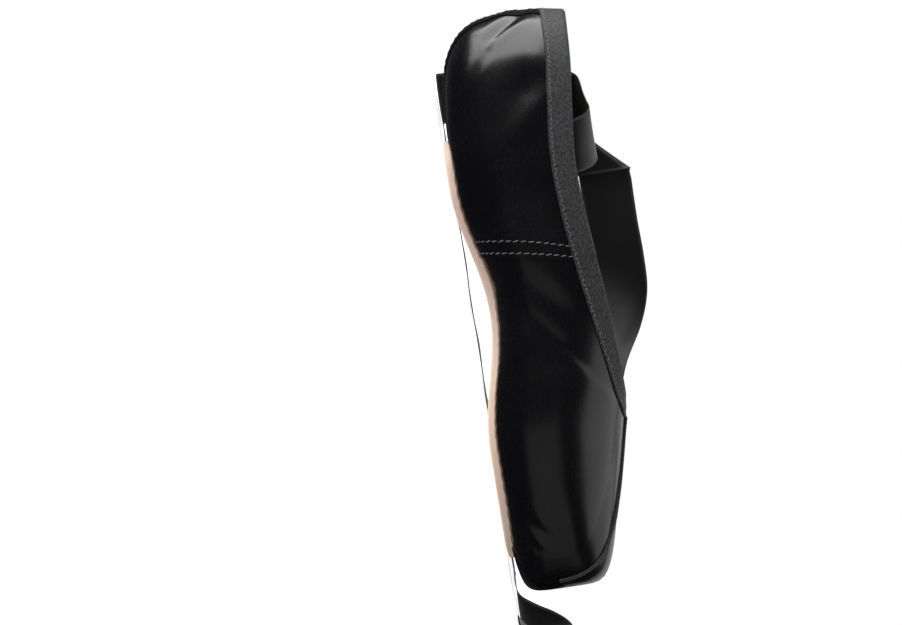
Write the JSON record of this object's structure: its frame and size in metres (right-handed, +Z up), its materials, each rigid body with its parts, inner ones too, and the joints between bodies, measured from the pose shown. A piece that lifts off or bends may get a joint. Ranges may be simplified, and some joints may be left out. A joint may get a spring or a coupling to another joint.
{
  "type": "pointe shoe",
  "caption": "Black satin pointe shoe with a stiffened toe box and flat platform, a pleated underside, a pale leather sole, a bound collar with drawstring ends, and ankle ribbons.",
  "frame": {"origin": "on the floor under the middle of the shoe's box, ties left out", "axes": "+X towards the toe, +Y towards the wearer's left, +Z up"},
  "size_m": [0.2689, 0.1841, 0.0773],
  "materials": {
    "satin": "black satin with a soft gloss",
    "sole_leather": "undyed pale pink-beige leather with score marks",
    "cotton": "unbleached plain-woven cotton",
    "tape": "matt black woven tape",
    "ribbon": "black satin ribbon",
    "drawstring": "matt black braided cord"
  },
  "bodies": {
    "root": {"upper": "satin", "outsole": "sole_leather", "insole": "cotton", "collar_tape": "tape", "ribbon_left": "ribbon", "ribbon_right": "ribbon", "drawstring_left": "drawstring", "drawstring_right": "drawstring"}
  },
  "joints": []
}
